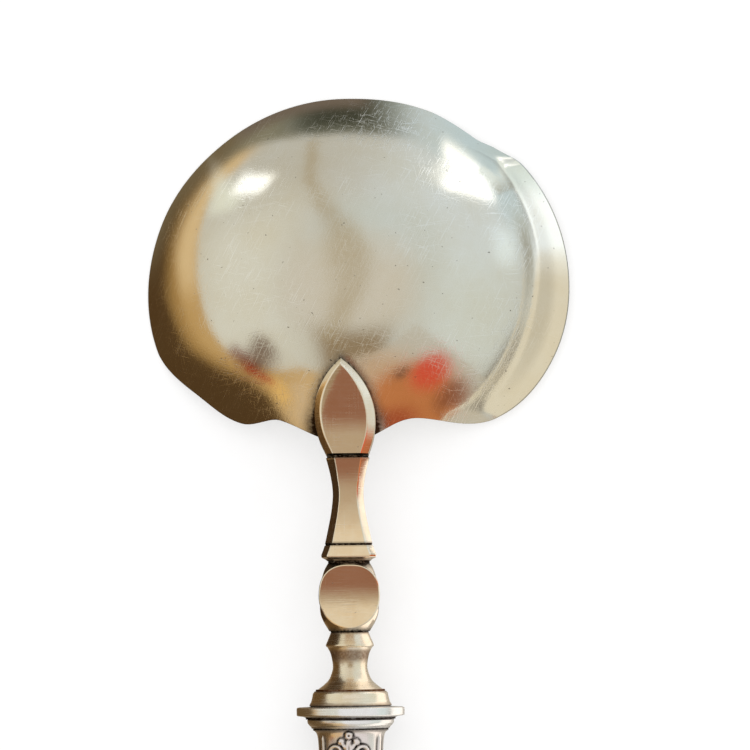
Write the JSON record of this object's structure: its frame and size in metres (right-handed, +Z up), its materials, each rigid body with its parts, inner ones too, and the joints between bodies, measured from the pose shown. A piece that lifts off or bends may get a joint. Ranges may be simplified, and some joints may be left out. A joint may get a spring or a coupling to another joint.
{
  "type": "cream ladle",
  "caption": "Silver cream ladle lying face down: kidney-shaped bowl with a side pouring lip, leaf-shaped heel drop, waisted stem with medallion knop and baluster, filled handle.",
  "frame": {"origin": "on the table, below the middle of the ladle's bounding box as it lies face down on the bowl's rim and the butt of the handle", "axes": "+Y along the ladle from the handle's butt to the bowl, +Z up out of the bowl's back, +X towards the pouring lip"},
  "size_m": [0.0712, 0.1856, 0.0181],
  "materials": {
    "bowl_silver": "worn polished silver with fine scratches",
    "stem_silver": "worn polished silver with tarnish in the joints",
    "handle_silver": "stamped silver with tarnish in the relief",
    "cement": "set filling cement",
    "tang_steel": "forged and filed"
  },
  "bodies": {
    "root": {"bowl": "bowl_silver", "heel_drop": "stem_silver", "neck": "stem_silver", "neck_collar": "stem_silver", "knop": "stem_silver", "baluster": "stem_silver", "stepped_cap": "stem_silver", "mouth_flange": "stem_silver", "handle_ring": "handle_silver", "handle_front_shell": "handle_silver", "handle_back_shell": "handle_silver", "cement_filling": "cement", "tang": "tang_steel"}
  },
  "joints": []
}
